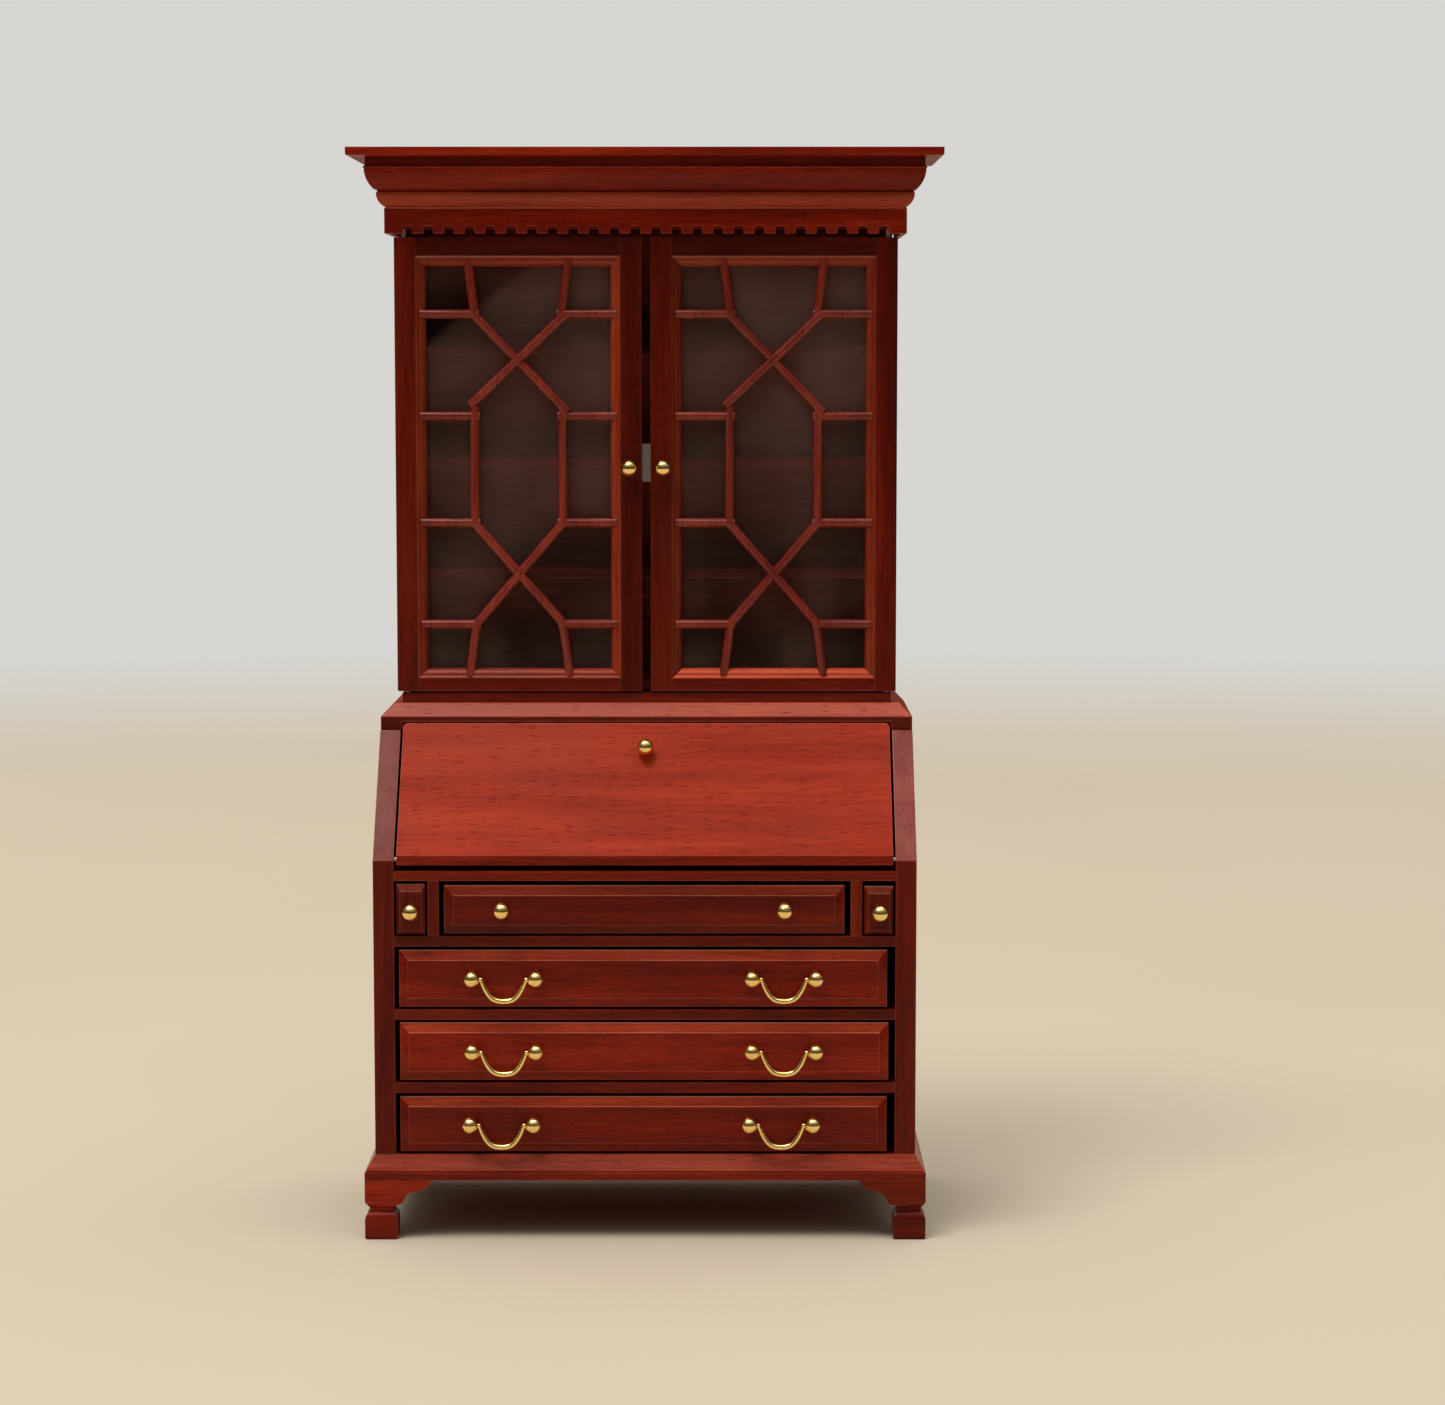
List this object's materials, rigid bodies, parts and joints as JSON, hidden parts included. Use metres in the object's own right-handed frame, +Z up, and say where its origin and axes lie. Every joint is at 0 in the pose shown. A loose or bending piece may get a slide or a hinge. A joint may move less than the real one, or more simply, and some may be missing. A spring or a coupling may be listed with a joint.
{
  "type": "miniature secretary bookcase",
  "caption": "Dolls' house slant-front secretary desk with drawers, pull-out bearers and a glazed two-door bookcase under a dentil cornice.",
  "frame": {"origin": "middle of the overall width and depth, on the floor", "axes": "+X to the right of someone facing it, +Y to the back, +Z up"},
  "size_m": [0.103, 0.0496, 0.188],
  "materials": {
    "mahogany": "satin lacquer over red mahogany stain",
    "fall_mahogany": "satin lacquer, brighter and more open-grained",
    "light_moulding": "satin lacquer, lighter orange red",
    "plain_wood": "thin stain on plain wood",
    "brass": "polished",
    "steel": "dull",
    "clear_pane": "clear acrylic"
  },
  "bodies": {
    "case": {"side_left": "mahogany", "side_right": "mahogany", "case_back": "plain_wood", "case_bottom": "mahogany", "writing_bed": "mahogany", "drawer_dividers": "mahogany", "lopper_partitions": "mahogany", "base_moulding": "mahogany", "front_feet": "mahogany", "rear_feet": "mahogany", "desk_top": "mahogany", "pigeonholes": "plain_wood", "hutch_plinth": "mahogany", "hutch_floor": "mahogany", "hutch_side_left": "mahogany", "hutch_side_right": "mahogany", "hutch_back": "plain_wood", "hutch_top": "mahogany", "shelves": "mahogany", "catch_plate": "steel", "dentil_strip": "mahogany", "frieze_frame": "plain_wood", "crown_moulding": "mahogany", "cornice_cap": "mahogany", "door_pins": "steel"},
    "fall": {"fall_panel": "fall_mahogany", "fall_pins": "steel", "fall_knob": "brass"},
    "door_left": {"door_left_frame": "mahogany", "door_left_sight_moulding": "light_moulding", "door_left_pane": "clear_pane", "door_left_glazing_bars": "mahogany", "door_left_knob": "brass"},
    "lopper_left": {"lopper_left": "mahogany", "lopper_knob_left": "brass"},
    "door_right": {"door_right_frame": "mahogany", "door_right_sight_moulding": "light_moulding", "door_right_pane": "clear_pane", "door_right_glazing_bars": "mahogany", "door_right_knob": "brass"},
    "lopper_right": {"lopper_right": "mahogany", "lopper_knob_right": "brass"},
    "drawer_1": {"drawer_front_1": "mahogany", "drawer_box_1": "plain_wood", "drawer_knobs_1": "brass"},
    "drawer_2": {"drawer_front_2": "mahogany", "drawer_box_2": "plain_wood", "handle_posts_2": "brass"},
    "bail_2_left": {"bail_2_left": "brass"},
    "bail_2_right": {"bail_2_right": "brass"},
    "drawer_3": {"drawer_front_3": "mahogany", "drawer_box_3": "plain_wood", "handle_posts_3": "brass"},
    "bail_3_left": {"bail_3_left": "brass"},
    "bail_3_right": {"bail_3_right": "brass"},
    "drawer_4": {"drawer_front_4": "mahogany", "drawer_box_4": "plain_wood", "handle_posts_4": "brass"},
    "bail_4_left": {"bail_4_left": "brass"},
    "bail_4_right": {"bail_4_right": "brass"}
  },
  "joints": [
    {"name": "door_left_hinge", "type": "hinge", "parent": "case", "child": "door_left", "pos_m": [-0.04225, -0.00104, 0.0934], "axis": [0, 0, -1], "range_deg": [0, 110]},
    {"name": "door_right_hinge", "type": "hinge", "parent": "case", "child": "door_right", "pos_m": [0.04225, -0.00104, 0.0934], "axis": [0, 0, 1], "range_deg": [0, 110]},
    {"name": "fall_hinge", "type": "hinge", "parent": "case", "child": "fall", "pos_m": [0, -0.0197, 0.06595], "axis": [1, 0, 0], "range_deg": [0, 127]},
    {"name": "lopper_left_slide", "type": "slide", "parent": "case", "child": "lopper_left", "axis": [0, -1, 0], "range_m": [0, 0.02]},
    {"name": "lopper_right_slide", "type": "slide", "parent": "case", "child": "lopper_right", "axis": [0, -1, 0], "range_m": [0, 0.02]},
    {"name": "drawer_1_slide", "type": "slide", "parent": "case", "child": "drawer_1", "axis": [0, -1, 0], "range_m": [0, 0.03]},
    {"name": "drawer_2_slide", "type": "slide", "parent": "case", "child": "drawer_2", "axis": [0, -1, 0], "range_m": [0, 0.03]},
    {"name": "drawer_3_slide", "type": "slide", "parent": "case", "child": "drawer_3", "axis": [0, -1, 0], "range_m": [0, 0.03]},
    {"name": "drawer_4_slide", "type": "slide", "parent": "case", "child": "drawer_4", "axis": [0, -1, 0], "range_m": [0, 0.03]},
    {"name": "bail_2_left_hinge", "type": "hinge", "parent": "drawer_2", "child": "bail_2_left", "pos_m": [-0.02427, -0.02329, 0.04562], "axis": [-1, 0, 0], "range_deg": [0, 90]},
    {"name": "bail_2_right_hinge", "type": "hinge", "parent": "drawer_2", "child": "bail_2_right", "pos_m": [0.02393, -0.02329, 0.04562], "axis": [-1, 0, 0], "range_deg": [0, 90]},
    {"name": "bail_3_left_hinge", "type": "hinge", "parent": "drawer_3", "child": "bail_3_left", "pos_m": [-0.02427, -0.02329, 0.03289], "axis": [-1, 0, 0], "range_deg": [0, 90]},
    {"name": "bail_3_right_hinge", "type": "hinge", "parent": "drawer_3", "child": "bail_3_right", "pos_m": [0.02393, -0.02329, 0.03289], "axis": [-1, 0, 0], "range_deg": [0, 90]},
    {"name": "bail_4_left_hinge", "type": "hinge", "parent": "drawer_4", "child": "bail_4_left", "pos_m": [-0.02474, -0.02329, 0.02014], "axis": [-1, 0, 0], "range_deg": [0, 90]},
    {"name": "bail_4_right_hinge", "type": "hinge", "parent": "drawer_4", "child": "bail_4_right", "pos_m": [0.02346, -0.02329, 0.02014], "axis": [-1, 0, 0], "range_deg": [0, 90]}
  ]
}
